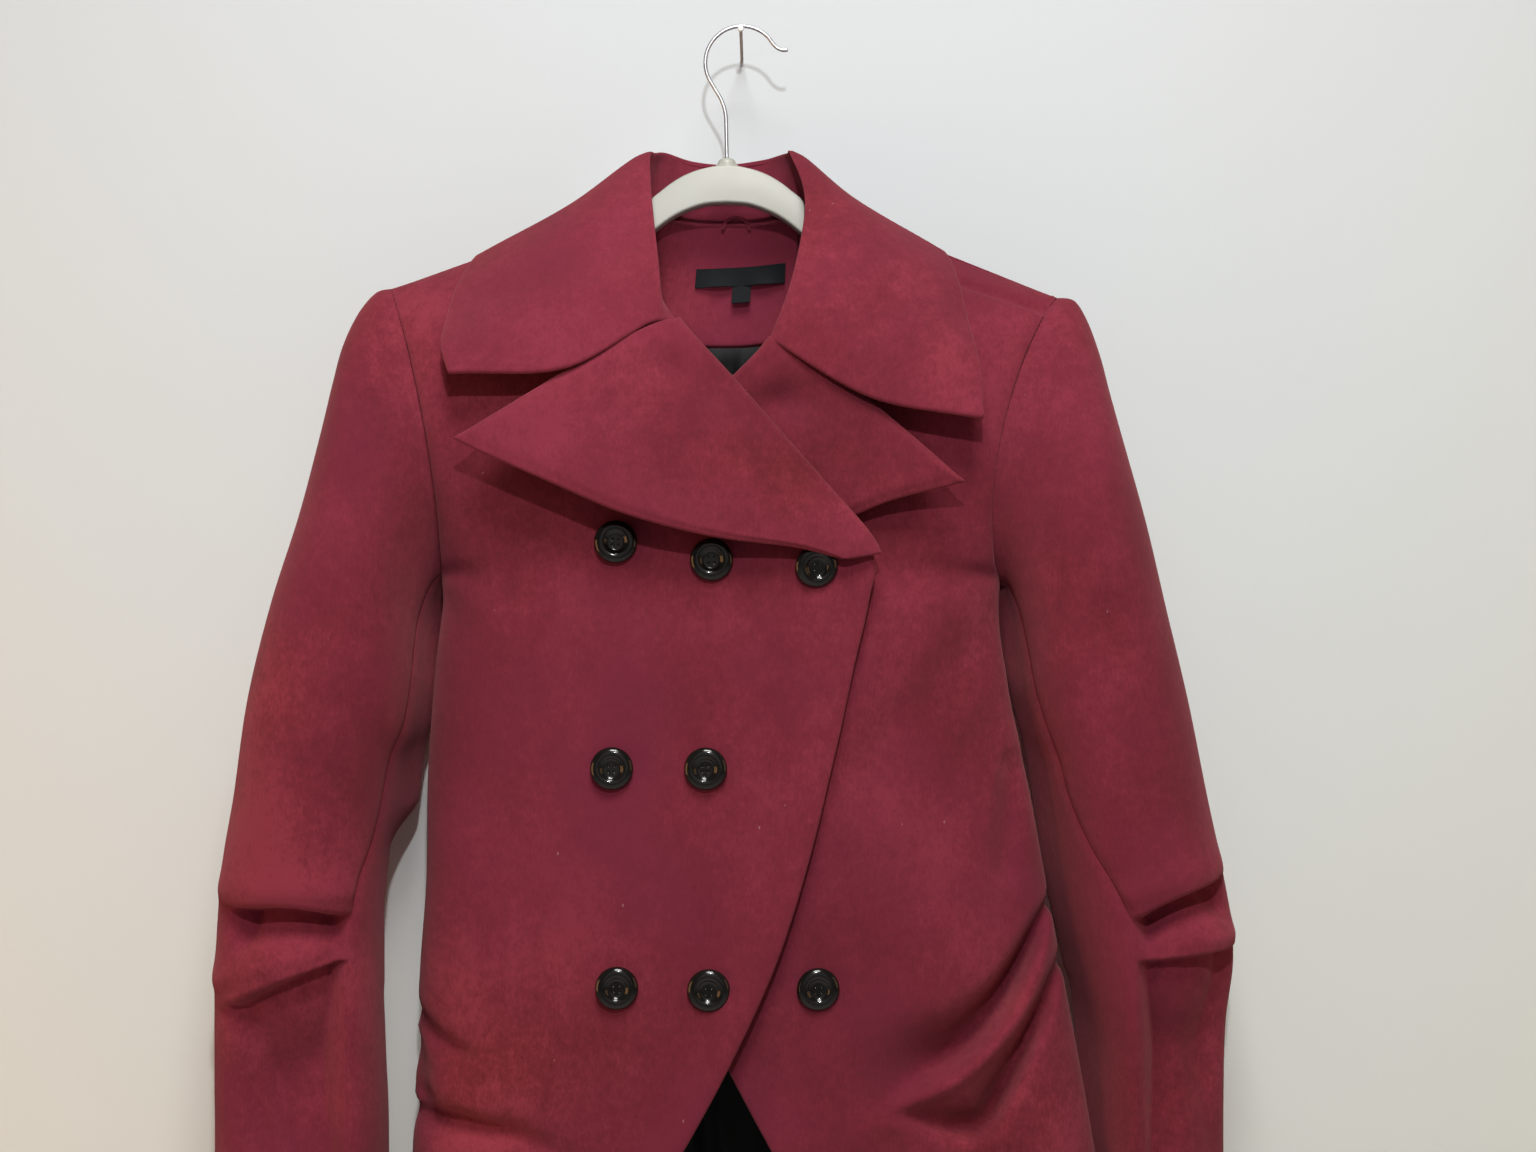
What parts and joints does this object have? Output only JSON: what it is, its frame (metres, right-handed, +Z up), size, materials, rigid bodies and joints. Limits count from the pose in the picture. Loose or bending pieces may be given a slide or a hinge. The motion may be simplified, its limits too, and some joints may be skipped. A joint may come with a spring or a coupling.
{
  "type": "wool coat on wall hook",
  "caption": "Double-breasted wool coat with a wide turned-down collar and broad notched lapels, on a plastic hanger hung by its wire hook from a wall nail.",
  "frame": {"origin": "where the nail enters the wall, the point that holds the coat up", "axes": "+X to the right of someone facing the coat, +Y into the wall, +Z up; the coat is at negative Y"},
  "size_m": [0.5595, 0.1284, 0.7432],
  "materials": {
    "wool": "matte brushed melton nap",
    "satin": "glossy satin weave",
    "tape": "plain black woven tape",
    "button": "polished",
    "hanger_plastic": "smooth moulded",
    "steel": "bright plated wire"
  },
  "bodies": {
    "root": {"front_right": "wool", "front_left": "wool", "lapel_right": "wool", "lapel_left": "wool", "back": "wool", "back_neck_facing": "wool", "collar": "wool", "sleeve_right_top": "wool", "sleeve_right_under": "wool", "sleeve_left_top": "wool", "sleeve_left_under": "wool", "hanging_loop": "wool", "back_lining": "satin", "label": "tape", "size_tab": "tape", "button_top_outer": "button", "button_top_middle": "button", "button_top_inner": "button", "button_middle_outer": "button", "button_middle_inner": "button", "button_low_outer": "button", "button_low_inner": "button", "button_low_left": "button", "hanger": "hanger_plastic", "hook_socket": "hanger_plastic", "hanger_hook": "steel", "wall_nail": "steel"}
  },
  "joints": []
}
